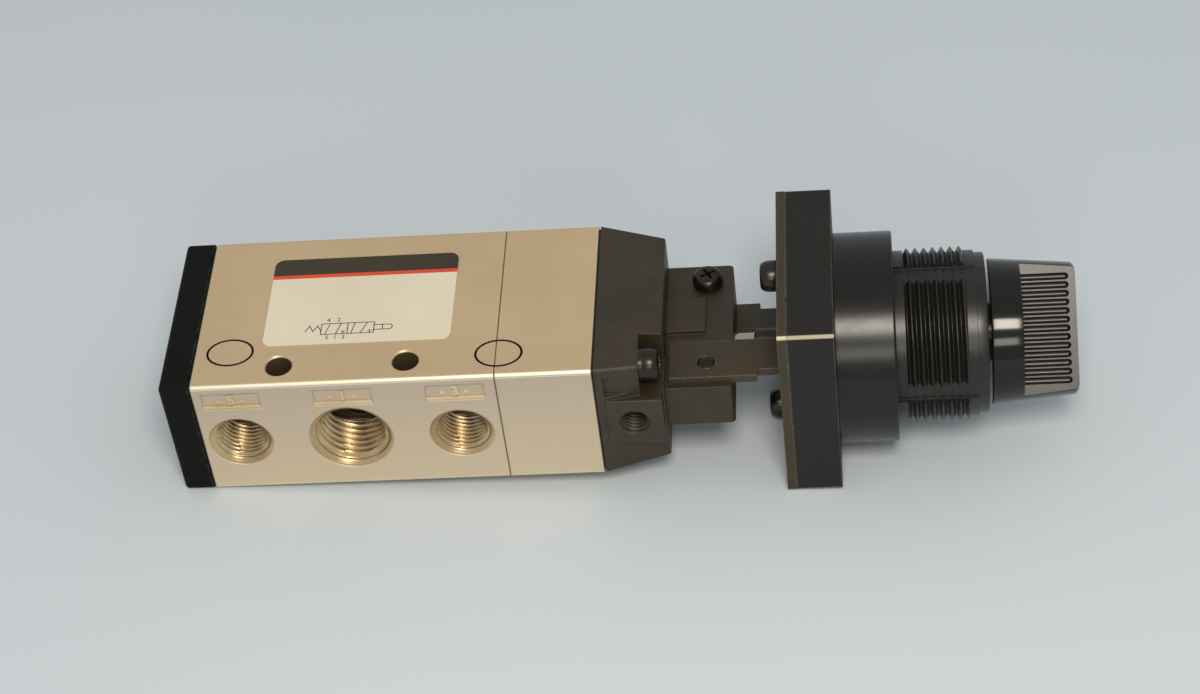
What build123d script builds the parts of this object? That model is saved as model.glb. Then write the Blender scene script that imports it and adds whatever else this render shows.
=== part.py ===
"""Pilot-operated spool valve with a twist-selector panel operator.

Millimetres. X runs along the valve axis from the end cover to the knob, Y to the back, Z up.
The origin is on the axis, in the plane where the operator's collar meets the panel.
"""

import os

from build123d import *

# Lengths along the axis, end cover to knob
END_COVER_L = 5.2
GASKET_T = 0.4
JOINT_T = 0.2
BODY_L = 52.1
ADAPTER_L = 16.3
PILOT_L = 11.3
BLOCK_L = 11.6
BLOCK_TO_PLATE = 8.2
PLATE_T = 1.6
BASE_L = 7.9
COLLAR_L = 10.2
BUSHING_L = 15.6
KNOB_GAP = 0.5
KNOB_L = 14.8

# Stations along the axis, counted from the panel seat
X_COLLAR = -COLLAR_L
X_BASE = X_COLLAR - BASE_L
X_PLATE = X_BASE - PLATE_T
X_BLOCK_END = X_PLATE - BLOCK_TO_PLATE
X_BLOCK = X_BLOCK_END - BLOCK_L
X_PILOT = X_BLOCK - PILOT_L
X_PILOT_GASKET = X_PILOT - GASKET_T
X_ADAPTER = X_PILOT_GASKET - ADAPTER_L
X_BODY_GASKET = X_ADAPTER - JOINT_T
X_BODY = X_BODY_GASKET - BODY_L
X_COVER_GASKET = X_BODY - GASKET_T
X_COVER = X_COVER_GASKET - END_COVER_L
X_KNOB = BUSHING_L + KNOB_GAP
X_KNOB_END = X_KNOB + KNOB_L

# Fits
RUN_FIT = 0.06
FIXED_FIT = 0.02
SCREW_FIT = 0.05
CLEAR_HOLE = 0.25

# Valve section
BODY_W = 36.7
BODY_H = 25.1
EDGE_R = 0.8
GASKET_INSET = 0.35
JOINT_INSET = 0.15

# Ports, positions from the body's left face
PORT_Z = -1.0
EXHAUST_PORT_R = 9.728 / 2
EXHAUST_MOUTH_R = 5.7
MAIN_PORT_R = 13.157 / 2
MAIN_MOUTH_R = 7.4
EXHAUST_DEPTH = 9.0
MAIN_DEPTH = 10.0
MAIN_FEED_W = 4.4
MAIN_FEED_H = 9.0
EXHAUST_FEED_W = 3.4
EXHAUST_FEED_H = 6.6
CENTRE_SHIFT = 0.25
EXHAUST_IN = 6.5
CYLINDER_STEP = 8.35
FRONT_Y = -BODY_W / 2
BACK_Y = BODY_W / 2

# Mounting holes through the body
MOUNT_HOLE_R = 2.25
MOUNT_HOLE_Y = -13.77
MOUNT_CHAMFER = 0.3

# Shallow marking pads over the front ports
PAD_L = 10.0
PAD_H = 3.3
PAD_Z = 9.05
PAD_DEPTH = 0.35

# Label
LABEL_L = 32.7
LABEL_W = 21.7
LABEL_T = 0.15
LABEL_X = 27.75
LABEL_Y = 1.85
LABEL_R = 1.6

# Spool bore and chambers
SPOOL_R = 5.0
CHAMBER_R = 6.6
CHAMBER_L = 5.0
EXHAUST_CHAMBER_L = 4.0
SPOOL_TRAVEL = 2.6
SPOOL_NECK_R = 3.2
SPOOL_HOLLOW_R = 2.3
LAND_L = 1.7
SEAL_L = 1.0
SEAL_DEPTH = 0.9
LEFT_SEAL_OUT = 2.7
RIGHT_SEAL_OUT = 5.6
LEFT_PORT_SEAL = 0.95
RIGHT_PORT_SEAL = 0.75
PORT_SEAL_STEP = 3.45
SPOOL_END_L = 1.0

# Piston
PISTON_R = 8.5
PISTON_L = 5.0
PISTON_END_GAP = 1.0
PISTON_SOCKET = 2.0
STEM_R = 3.0
CYLINDER_FLOOR = 4.3

# Case screws, placed in the corners
CASE_SCREW_IN_Y = 4.85
CASE_SCREW_IN_Z = 3.65
CASE_SCREW_R = 1.5
CASE_HEAD_R = 2.85
CASE_HEAD_H = 2.0
HEAD_TAPER = 12
COVER_SCREW_GRIP = 8.0
ADAPTER_SCREW_GRIP = 9.0
PILOT_SCREW_GRIP = 7.0
WASHER_T = 0.7
WASHER_R = 2.8

# Pilot body
PILOT_TAPER_Y = 2.35
PILOT_TAPER_Z = 1.45
NOTCH_L = 4.0
NOTCH_Y = 8.7
NOTCH_Z = 5.0
BOSS_L = 9.8
BOSS_H = 10.2
BOSS_X = 1.2
BOSS_Z = -0.1
PILOT_PORT_R = 2.5
PILOT_MOUTH_R = 2.75
PILOT_PORT_X = 5.9
PILOT_PORT_Z = -0.16
PILOT_PORT_DEPTH = 6.0
NOTE_L = 5.1
NOTE_H = 4.3
NOTE_X = 3.85
NOTE_Z = 8.05
NOTE_DEPTH = 0.3

# Pilot valve
PLUNGER_R = 1.6
PLUNGER_OUT = 3.7
PLUNGER_GROOVE = 0.4
PLUNGER_TRAVEL = 1.5
PLUNGER_STEM_R = 1.0
COLLAR_STOP_R = 2.4
COLLAR_STOP_L = 0.9
PLUNGER_ROOM_R = 2.7
PLUNGER_ROOM_L = 2.9
SEAT_L = 1.5
SEAT_HOLE_R = 1.8
POPPET_ROOM_R = 3.2
POPPET_R = 2.6
POPPET_L = 2.0
SEAT_GAP = 0.1
SPRING_SEAT_L = 1.2
AIR_HOLE_R = 1.0
AIR_HOLE_Y = 5.6

# Actuator block
BLOCK_W = 30.2
BLOCK_H = 8.7
BLOCK_PAD_L = 6.85
BLOCK_PAD_Y = 2.3
BLOCK_PAD_W = 8.5
BLOCK_PAD_T = 0.8
BLOCK_SCREW_R = 1.0
BLOCK_SCREW_Y = 7.0
BLOCK_SCREW_Z = 2.4
BLOCK_SCREW_HEAD_R = 1.9
BLOCK_SCREW_HEAD_H = 1.2
BLOCK_SCREW_GRIP = 4.5

# Bracket
PLATE_MARGIN = 0.3
PLATE_CORNER = 1.0
TONGUE_GAP = 0.8
TONGUE_IN = 5.4
TONGUE_OUT = 14.2
NECK_L = 4.0
NECK_OUT = 12.8
WINDOW_MARGIN = 3.75
BEND_R = 0.6
ROD_HOLE_R = 3.0
BRACKET_SCREW_Y = 10.65
BRACKET_SCREW_X = 7.15
M3_R = 1.5
M3_HEAD_R = 2.7
M3_HEAD_H = 2.4
TIP_OUT = 0.3
BASE_SCREW_IN = 3.25
BASE_HEAD_H = 2.9
BASE_SCREW_GRIP = 6.0

# Operator
BASE_CORNER = 1.2
COLLAR_MARGIN = 0.4
SEAT_RECESS_L = 0.6
SEAT_RECESS_GAP = 0.3
THREAD_R = 15.0
SHOULDER_R = 14.7
SHOULDER_L = 1.7
THREAD_L = 10.4
RUNOUT_R = 14.3
RUNOUT_L = 1.7
BUSHING_END_R = 13.85
FLAT_W = 3.9
FLAT_DEPTH = 1.25
SPIGOT_R = 11.0
SPIGOT_L = 4.0
DRUM_R = 6.0
DRUM_L = 12.4
DRUM_HOLLOW_L = 9.6
DRUM_END_GAP = 0.8
SHAFT_R = 5.0
SHAFT_IN_KNOB = 9.0
DRIVE_W = 5.4
SHOULDER_GAP = 0.3
DRUM_ROOM = 0.3
SHAFT_SEAL_L = 2.2
SHAFT_SEAL_R = 7.5
SLEEVE_WALL = 1.94
SLEEVE_START = 0.6
SLEEVE_L = 9.1

# Cam
CAM_PIN_R = 1.0
CAM_PIN_HALF = 7.6
CAM_PIN_X = -3.0
CAM_PLAY = 0.15
CAM_TURN = 90
ROD_HEAD_R = 3.4
ROD_HEAD_BACK = 5.6
ROD_HEAD_FRONT = 2.0
ROD_R = 2.25
TIP_GAP = 0.05
ROD_SPRING_FLOOR = 4.8
ROD_SPRING_ROOM_R = 4.2

# Knob
KNOB_R = 12.7
KNOB_END_R = 11.4
KNOB_ROUND_L = 5.4
GRIP_HALF = 4.6
KNOB_ANGLE = 45
GRIP_EDGE = 0.5

# Springs
SPOOL_SPRING_R = 1.8
SPOOL_SPRING_WIRE = 0.3
SPOOL_SPRING_TURNS = 7
PILOT_SPRING_R = 1.9
PILOT_SPRING_WIRE = 0.25
PILOT_SPRING_TURNS = 4
ROD_SPRING_R = 2.85
ROD_SPRING_WIRE = 0.3
ROD_SPRING_TURNS = 5
COVER_POCKET_L = 3.8
COVER_POCKET_R = 5.4
SPRING_BORE_L = 8.0

body_centre = BODY_L / 2 - CENTRE_SHIFT
body_centre_x = X_BODY + body_centre
exhaust_pitch = body_centre - EXHAUST_IN
cylinder_pitch = exhaust_pitch - CYLINDER_STEP
seal_offsets = (
    -exhaust_pitch - LEFT_SEAL_OUT,
    -cylinder_pitch - LEFT_PORT_SEAL,
    -cylinder_pitch + PORT_SEAL_STEP,
    cylinder_pitch - RIGHT_PORT_SEAL,
    cylinder_pitch + PORT_SEAL_STEP,
    exhaust_pitch + RIGHT_SEAL_OUT,
)
case_y = BODY_W / 2 - CASE_SCREW_IN_Y
case_z = BODY_H / 2 - CASE_SCREW_IN_Z
case_corners = ((-case_y, case_z), (case_y, -case_z))
other_corners = ((case_y, case_z), (-case_y, -case_z))
pilot_end_w = BODY_W - 2 * PILOT_TAPER_Y
pilot_end_h = BODY_H - 2 * PILOT_TAPER_Z
plate_w = BODY_W + 2 * PLATE_MARGIN
tongue_l = X_PLATE - X_BLOCK - TONGUE_GAP
window_drop = plate_w / 2 - WINDOW_MARGIN
base_screw_z = plate_w / 2 - BASE_SCREW_IN
collar_r = plate_w / 2 - COLLAR_MARGIN
spool_left_x = body_centre_x + seal_offsets[0] - SPOOL_END_L
seal_inner_r = SPOOL_R - RUN_FIT - SEAL_DEPTH
land_r = SPOOL_R - 2 * RUN_FIT
piston_left_x = X_PILOT_GASKET - PISTON_END_GAP - PISTON_L
plunger_tip_x = X_BLOCK_END + PLUNGER_OUT
plunger_room_x = X_BLOCK - PLUNGER_ROOM_L
seat_x = plunger_room_x - SEAT_L
poppet_x = seat_x - SEAT_GAP - POPPET_L
rod_head_x = CAM_PIN_X - ROD_HEAD_BACK
sleeve_r = DRUM_R + RUN_FIT + SLEEVE_WALL


def disc(x, length, radius, mode=Mode.ADD):
    """Round bar on the valve axis."""
    with BuildSketch(Plane.YZ.offset(x)) as face:
        Circle(radius)
    extrude(face.sketch, amount=length, mode=mode)


def ring(x, length, outer, inner, mode=Mode.ADD):
    """Ring around the valve axis."""
    with BuildSketch(Plane.YZ.offset(x)) as face:
        Circle(outer)
        Circle(inner, mode=Mode.SUBTRACT)
    extrude(face.sketch, amount=length, mode=mode)


def holes_along_x(x, length, places, radius):
    """Round holes beside the axis, running along X."""
    with BuildSketch(Plane.YZ.offset(x)) as faces:
        with Locations(*places):
            Circle(radius)
    extrude(faces.sketch, amount=length, mode=Mode.SUBTRACT)


def case_block(x, length):
    """Piece of the valve's outer section, with rounded long edges."""
    with BuildSketch(Plane.YZ.offset(x)) as face:
        RectangleRounded(BODY_W, BODY_H, EDGE_R)
    extrude(face.sketch, amount=length)


def add_screw(seat, head_r, head_h, shank_r, shank_l):
    """Screw with its head on the seat plane and its shank behind it."""
    with BuildSketch(seat) as head:
        Circle(head_r)
    extrude(head.sketch, amount=head_h, taper=HEAD_TAPER)
    with BuildSketch(seat) as shank:
        Circle(shank_r)
    extrude(shank.sketch, amount=-shank_l)


def port(x, y, z, side, radius, mouth_r, depth):
    """Port hole with a countersunk mouth, open towards the front or the back."""
    mouth = Plane(origin=(x, y, z), x_dir=(1, 0, 0), z_dir=(0, side, 0))
    with Locations(mouth):
        CounterSinkHole(radius, mouth_r, depth=depth, counter_sink_angle=90)


def coil(x, length, radius, wire_r, turns):
    """Helical spring on the valve axis, its wire's ends inside the given length."""
    height = length - 2 * wire_r
    with BuildLine() as path:
        Helix(
            pitch=height / turns, height=height, radius=radius,
            center=(x + wire_r, 0, 0), direction=(1, 0, 0),
        )
    with BuildSketch(Plane(origin=path.line @ 0, z_dir=path.line % 0)) as wire:
        RegularPolygon(wire_r, 6)
    sweep(wire.sketch, path=path.line, is_frenet=True)


os.makedirs("parts", exist_ok=True)

# End cover, its gasket and its screws
with BuildPart() as end_cover:
    case_block(X_COVER, END_COVER_L)
    fillet(end_cover.faces().sort_by(Axis.X)[0].edges(), EDGE_R)
    disc(X_COVER_GASKET - COVER_POCKET_L, COVER_POCKET_L, COVER_POCKET_R, Mode.SUBTRACT)
    holes_along_x(X_COVER, END_COVER_L, case_corners, CASE_SCREW_R + CLEAR_HOLE)
    holes_along_x(X_COVER, CASE_HEAD_H + FIXED_FIT, case_corners, CASE_HEAD_R + CLEAR_HOLE)
end_cover.part.label = "end_cover"

with BuildPart() as end_cover_gasket:
    with BuildSketch(Plane.YZ.offset(X_COVER_GASKET)):
        RectangleRounded(BODY_W - 2 * GASKET_INSET, BODY_H - 2 * GASKET_INSET, EDGE_R)
        Circle(COVER_POCKET_R, mode=Mode.SUBTRACT)
        with Locations(*case_corners):
            Circle(CASE_SCREW_R + CLEAR_HOLE, mode=Mode.SUBTRACT)
    extrude(amount=GASKET_T)
end_cover_gasket.part.label = "end_cover_gasket"

with BuildPart() as end_cover_screws:
    for y, z in case_corners:
        head_seat = Plane(origin=(X_COVER + CASE_HEAD_H + FIXED_FIT, y, z), z_dir=(-1, 0, 0))
        shank_l = END_COVER_L - CASE_HEAD_H + GASKET_T + COVER_SCREW_GRIP
        add_screw(head_seat, CASE_HEAD_R, CASE_HEAD_H, CASE_SCREW_R, shank_l)
end_cover_screws.part.label = "end_cover_screws"

# Valve body
with BuildPart() as valve_body:
    case_block(X_BODY, BODY_L)
    for step in (-1, 0, 1):
        with BuildSketch(Plane.XZ.offset(BODY_W / 2)):
            with Locations((body_centre_x + step * exhaust_pitch, PAD_Z)):
                Rectangle(PAD_L, PAD_H)
        extrude(amount=-PAD_DEPTH, mode=Mode.SUBTRACT)
    disc(X_BODY, BODY_L, SPOOL_R, Mode.SUBTRACT)
    for step in (-1, 1):
        exhaust_x = body_centre_x + step * exhaust_pitch
        disc(exhaust_x - EXHAUST_CHAMBER_L / 2, EXHAUST_CHAMBER_L, CHAMBER_R, Mode.SUBTRACT)
        port(exhaust_x, FRONT_Y, PORT_Z, -1, EXHAUST_PORT_R, EXHAUST_MOUTH_R, EXHAUST_DEPTH)
    for step in (-1, 0, 1):
        chamber_x = body_centre_x + step * cylinder_pitch
        disc(chamber_x - CHAMBER_L / 2, CHAMBER_L, CHAMBER_R, Mode.SUBTRACT)
    port(body_centre_x, FRONT_Y, PORT_Z, -1, MAIN_PORT_R, MAIN_MOUTH_R, MAIN_DEPTH)
    for step in (-1, 1):
        cylinder_x = body_centre_x + step * cylinder_pitch
        port(cylinder_x, BACK_Y, PORT_Z, 1, MAIN_PORT_R, MAIN_MOUTH_R, MAIN_DEPTH)
        with BuildSketch(Plane.XZ):
            with Locations((cylinder_x, PORT_Z)):
                SlotOverall(MAIN_FEED_H, MAIN_FEED_W, rotation=90)
        extrude(amount=-(BODY_W / 2 - EXHAUST_DEPTH), mode=Mode.SUBTRACT)
    with BuildSketch(Plane.XZ):
        with Locations((body_centre_x, PORT_Z)):
            SlotOverall(MAIN_FEED_H, MAIN_FEED_W, rotation=90)
        for step in (-1, 1):
            with Locations((body_centre_x + step * exhaust_pitch, PORT_Z)):
                SlotOverall(EXHAUST_FEED_H, EXHAUST_FEED_W, rotation=90)
    extrude(amount=BODY_W / 2 - EXHAUST_DEPTH + 1, mode=Mode.SUBTRACT)
    mount_places = [(body_centre_x + step * cylinder_pitch, MOUNT_HOLE_Y) for step in (-1, 1)]
    with BuildSketch(Plane.XY.offset(-BODY_H / 2)):
        with Locations(*mount_places):
            Circle(MOUNT_HOLE_R)
    extrude(amount=BODY_H, mode=Mode.SUBTRACT)
    mount_rims = valve_body.edges().filter_by(GeomType.CIRCLE).filter_by(
        lambda e: abs(abs(e.center().Z) - BODY_H / 2) < 0.01
    )
    chamfer(mount_rims, MOUNT_CHAMFER)
    holes_along_x(X_BODY, COVER_SCREW_GRIP + 1, case_corners, CASE_SCREW_R + SCREW_FIT)
    deep = max(PILOT_SCREW_GRIP, ADAPTER_SCREW_GRIP) + 1
    holes_along_x(X_BODY_GASKET - deep, deep, case_corners + other_corners, CASE_SCREW_R + SCREW_FIT)
valve_body.part.label = "valve_body"

with BuildPart() as type_label:
    with BuildSketch(Plane.XY.offset(BODY_H / 2)):
        with Locations((X_BODY + LABEL_X, LABEL_Y)):
            RectangleRounded(LABEL_L, LABEL_W, LABEL_R)
    extrude(amount=LABEL_T)
type_label.part.label = "type_label"

# Spool with its seals and its return spring
with BuildPart() as main_spool:
    spool_right_x = piston_left_x + PISTON_SOCKET
    disc(spool_left_x, spool_right_x - spool_left_x, STEM_R)
    last_land_x = body_centre_x + seal_offsets[-1]
    disc(spool_left_x, last_land_x - spool_left_x, SPOOL_NECK_R)
    for offset_x in seal_offsets:
        centre_x = body_centre_x + offset_x
        disc(centre_x - LAND_L / 2, LAND_L, land_r)
        ring(centre_x - SEAL_L / 2, SEAL_L, land_r + 1, seal_inner_r, Mode.SUBTRACT)
    disc(spool_left_x, SPRING_BORE_L, SPOOL_HOLLOW_R, Mode.SUBTRACT)
main_spool.part.label = "main_spool"

with BuildPart() as spool_seals:
    for offset_x in seal_offsets:
        ring(body_centre_x + offset_x - SEAL_L / 2, SEAL_L, SPOOL_R - RUN_FIT, seal_inner_r)
spool_seals.part.label = "spool_seals"

with BuildPart() as spool_return_spring:
    spring_x = X_COVER_GASKET - COVER_POCKET_L
    spring_l = spool_left_x + SPRING_BORE_L - spring_x
    coil(spring_x, spring_l, SPOOL_SPRING_R, SPOOL_SPRING_WIRE, SPOOL_SPRING_TURNS)
spool_return_spring.part.label = "spool_return_spring"

# Adapter body with the drive piston
with BuildPart() as body_gasket:
    with BuildSketch(Plane.YZ.offset(X_BODY_GASKET)):
        RectangleRounded(BODY_W - 2 * JOINT_INSET, BODY_H - 2 * JOINT_INSET, EDGE_R)
        Circle(SPOOL_R + CLEAR_HOLE, mode=Mode.SUBTRACT)
        with Locations(*case_corners, *other_corners):
            Circle(CASE_SCREW_R + CLEAR_HOLE, mode=Mode.SUBTRACT)
    extrude(amount=JOINT_T)
body_gasket.part.label = "body_gasket"

with BuildPart() as adapter_body:
    case_block(X_ADAPTER, ADAPTER_L)
    disc(X_ADAPTER, ADAPTER_L, STEM_R + RUN_FIT, Mode.SUBTRACT)
    disc(X_ADAPTER + CYLINDER_FLOOR, ADAPTER_L - CYLINDER_FLOOR, PISTON_R, Mode.SUBTRACT)
    holes_along_x(X_ADAPTER, ADAPTER_L, case_corners + other_corners, CASE_SCREW_R + CLEAR_HOLE)
    counter_l = CASE_HEAD_H + FIXED_FIT
    holes_along_x(X_PILOT_GASKET - counter_l, counter_l, other_corners, CASE_HEAD_R + CLEAR_HOLE)
adapter_body.part.label = "adapter_body"

with BuildPart() as adapter_screws:
    for y, z in other_corners:
        head_seat = Plane(origin=(X_PILOT_GASKET - CASE_HEAD_H - FIXED_FIT, y, z), z_dir=(1, 0, 0))
        shank_l = ADAPTER_L - CASE_HEAD_H + JOINT_T + ADAPTER_SCREW_GRIP
        add_screw(head_seat, CASE_HEAD_R, CASE_HEAD_H, CASE_SCREW_R, shank_l)
adapter_screws.part.label = "adapter_screws"

with BuildPart() as drive_piston:
    disc(piston_left_x, PISTON_L, PISTON_R - RUN_FIT)
    disc(piston_left_x, PISTON_SOCKET, STEM_R + FIXED_FIT, Mode.SUBTRACT)
    groove_x = piston_left_x + PISTON_L / 2 - SEAL_L
    ring(groove_x, 2 * SEAL_L, PISTON_R + 1, PISTON_R - 2 * SEAL_L, Mode.SUBTRACT)
drive_piston.part.label = "drive_piston"

with BuildPart() as piston_seal:
    seal_x = piston_left_x + PISTON_L / 2 - SEAL_L
    ring(seal_x, 2 * SEAL_L, PISTON_R - RUN_FIT / 2, PISTON_R - 2 * SEAL_L)
piston_seal.part.label = "piston_seal"

# Pilot body
with BuildPart() as pilot_gasket:
    with BuildSketch(Plane.YZ.offset(X_PILOT_GASKET)):
        RectangleRounded(BODY_W - 2 * GASKET_INSET, BODY_H - 2 * GASKET_INSET, EDGE_R)
        Circle(PISTON_R - 2 * SEAL_L, mode=Mode.SUBTRACT)
        with Locations(*case_corners):
            Circle(CASE_SCREW_R + CLEAR_HOLE, mode=Mode.SUBTRACT)
    extrude(amount=GASKET_T)
pilot_gasket.part.label = "pilot_gasket"

with BuildPart() as pilot_body:
    with BuildSketch(Plane.YZ.offset(X_PILOT)):
        RectangleRounded(BODY_W, BODY_H, EDGE_R)
    with BuildSketch(Plane.YZ.offset(X_BLOCK)):
        RectangleRounded(pilot_end_w, pilot_end_h, EDGE_R)
    loft()
    fillet(pilot_body.faces().sort_by(Axis.X)[-1].edges(), EDGE_R / 2)
    with BuildSketch(Plane.XZ.offset(BODY_W / 2)):
        with Locations((X_PILOT + BOSS_X + BOSS_L / 2, BOSS_Z)):
            RectangleRounded(BOSS_L, BOSS_H, EDGE_R / 2)
    extrude(amount=-(BODY_W - pilot_end_w))
    boss_rim = pilot_body.faces().sort_by(Axis.Y)[0].edges()
    fillet(boss_rim, EDGE_R / 4)
    for side in (1, -1):
        with BuildSketch(Plane.YZ.offset(X_BLOCK - NOTCH_L)):
            with Locations((-side * (NOTCH_Y + BODY_W / 2), side * (NOTCH_Z + BODY_H / 2))):
                Rectangle(BODY_W, BODY_H)
        extrude(amount=NOTCH_L, mode=Mode.SUBTRACT)
    with BuildSketch(Plane.XZ.offset(BODY_W / 2)):
        with Locations((X_PILOT + NOTE_X, NOTE_Z)):
            Rectangle(NOTE_L, NOTE_H)
    extrude(amount=-(NOTE_DEPTH + EDGE_R), mode=Mode.SUBTRACT)
    holes_along_x(X_PILOT, PILOT_L, case_corners, CASE_SCREW_R + CLEAR_HOLE)
    disc(X_PILOT, seat_x - X_PILOT, POPPET_ROOM_R, Mode.SUBTRACT)
    disc(seat_x, SEAT_L, SEAT_HOLE_R, Mode.SUBTRACT)
    disc(plunger_room_x, PLUNGER_ROOM_L, PLUNGER_ROOM_R, Mode.SUBTRACT)
    block_screw_places = (
        (-BLOCK_SCREW_Y, BLOCK_SCREW_Z),
        (BLOCK_SCREW_Y, -BLOCK_SCREW_Z),
    )
    holes_along_x(X_PILOT, PILOT_L, block_screw_places, BLOCK_SCREW_R + CLEAR_HOLE / 2)
    head_room = BLOCK_SCREW_HEAD_H + FIXED_FIT
    holes_along_x(X_PILOT, head_room, block_screw_places, BLOCK_SCREW_HEAD_R + CLEAR_HOLE / 2)
    port(
        X_PILOT + PILOT_PORT_X, FRONT_Y, PILOT_PORT_Z, -1,
        PILOT_PORT_R, PILOT_MOUTH_R, PILOT_PORT_DEPTH,
    )
    with BuildSketch(Plane.XZ):
        with Locations((plunger_room_x + PLUNGER_ROOM_L / 2, 0)):
            Circle(AIR_HOLE_R)
    extrude(amount=BODY_W / 2 - PILOT_PORT_DEPTH + 1, mode=Mode.SUBTRACT)
    holes_along_x(X_PILOT, seat_x - X_PILOT - 1, ((0, AIR_HOLE_Y),), AIR_HOLE_R)
    with BuildSketch(Plane.XY):
        with Locations((seat_x - 1 - AIR_HOLE_R, 0)):
            Circle(AIR_HOLE_R)
    extrude(amount=AIR_HOLE_Y, mode=Mode.SUBTRACT)
pilot_body.part.label = "pilot_body"

with BuildPart() as pilot_body_screws:
    for y, z in case_corners:
        head_seat = Plane(origin=(X_BLOCK - NOTCH_L + WASHER_T, y, z), z_dir=(1, 0, 0))
        shank_l = WASHER_T + (X_BLOCK - NOTCH_L - X_BODY_GASKET) + PILOT_SCREW_GRIP
        add_screw(head_seat, CASE_HEAD_R, CASE_HEAD_H + EDGE_R, CASE_SCREW_R, shank_l)
pilot_body_screws.part.label = "pilot_body_screws"

with BuildPart() as pilot_screw_washers:
    with BuildSketch(Plane.YZ.offset(X_BLOCK - NOTCH_L)):
        with Locations(*case_corners):
            Circle(WASHER_R)
            Circle(CASE_SCREW_R + CLEAR_HOLE, mode=Mode.SUBTRACT)
    extrude(amount=WASHER_T)
pilot_screw_washers.part.label = "pilot_screw_washers"

with BuildPart() as pilot_spring_seat:
    disc(X_PILOT, SPRING_SEAT_L, POPPET_ROOM_R - FIXED_FIT)
    disc(X_PILOT, SPRING_SEAT_L, AIR_HOLE_R, Mode.SUBTRACT)
pilot_spring_seat.part.label = "pilot_spring_seat"

with BuildPart() as pilot_poppet:
    disc(poppet_x, POPPET_L, POPPET_R)
    disc(poppet_x + POPPET_L / 2, POPPET_L / 2, PLUNGER_STEM_R, Mode.SUBTRACT)
pilot_poppet.part.label = "pilot_poppet"

with BuildPart() as pilot_spring:
    pilot_spring_x = X_PILOT + SPRING_SEAT_L
    coil(
        pilot_spring_x, poppet_x - pilot_spring_x,
        PILOT_SPRING_R, PILOT_SPRING_WIRE, PILOT_SPRING_TURNS,
    )
pilot_spring.part.label = "pilot_spring"

with BuildPart() as pilot_plunger:
    stop_x = X_BLOCK - SEAT_GAP - COLLAR_STOP_L
    disc(stop_x, plunger_tip_x - stop_x, PLUNGER_R)
    disc(stop_x, COLLAR_STOP_L, COLLAR_STOP_R)
    disc(poppet_x + POPPET_L / 2, stop_x - poppet_x - POPPET_L / 2, PLUNGER_STEM_R)
    plunger_groove_x = X_BLOCK + BLOCK_L / 3
    ring(plunger_groove_x, SEAL_L, PLUNGER_R + 1, PLUNGER_R - PLUNGER_GROOVE, Mode.SUBTRACT)
    fillet(pilot_plunger.faces().sort_by(Axis.X)[-1].edges(), PLUNGER_R / 6)
pilot_plunger.part.label = "pilot_plunger"

with BuildPart() as plunger_seal:
    ring(plunger_groove_x, SEAL_L, PLUNGER_R + RUN_FIT / 3, PLUNGER_R - PLUNGER_GROOVE)
plunger_seal.part.label = "plunger_seal"

# Actuator block
with BuildPart() as actuator_block:
    with BuildSketch(Plane.YZ.offset(X_BLOCK)):
        Rectangle(BLOCK_W, BLOCK_H)
    extrude(amount=BLOCK_L)
    fillet(actuator_block.edges().filter_by(Axis.Z).sort_by(Axis.X)[-2:], EDGE_R)
    for side in (1, -1):
        with BuildSketch(Plane.XY.offset(side * BLOCK_H / 2)):
            with Locations((X_BLOCK + BLOCK_PAD_L / 2, side * BLOCK_PAD_Y)):
                Rectangle(BLOCK_PAD_L, BLOCK_PAD_W)
        extrude(amount=side * BLOCK_PAD_T)
    disc(X_BLOCK, BLOCK_L, PLUNGER_R + RUN_FIT, Mode.SUBTRACT)
    with BuildSketch(Plane.XY.offset(-BLOCK_H / 2)):
        with Locations(*[(X_BLOCK + BRACKET_SCREW_X, s * BRACKET_SCREW_Y) for s in (1, -1)]):
            Circle(M3_R + CLEAR_HOLE)
    extrude(amount=BLOCK_H, mode=Mode.SUBTRACT)
    holes_along_x(X_BLOCK, BLOCK_SCREW_GRIP + EDGE_R, block_screw_places, BLOCK_SCREW_R + SCREW_FIT)
actuator_block.part.label = "actuator_block"

with BuildPart() as block_screws:
    for y, z in block_screw_places:
        head_seat = Plane(origin=(X_PILOT + head_room, y, z), z_dir=(-1, 0, 0))
        shank_l = PILOT_L - head_room + BLOCK_SCREW_GRIP
        add_screw(head_seat, BLOCK_SCREW_HEAD_R, BLOCK_SCREW_HEAD_H, BLOCK_SCREW_R, shank_l)
block_screws.part.label = "block_screws"

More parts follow.
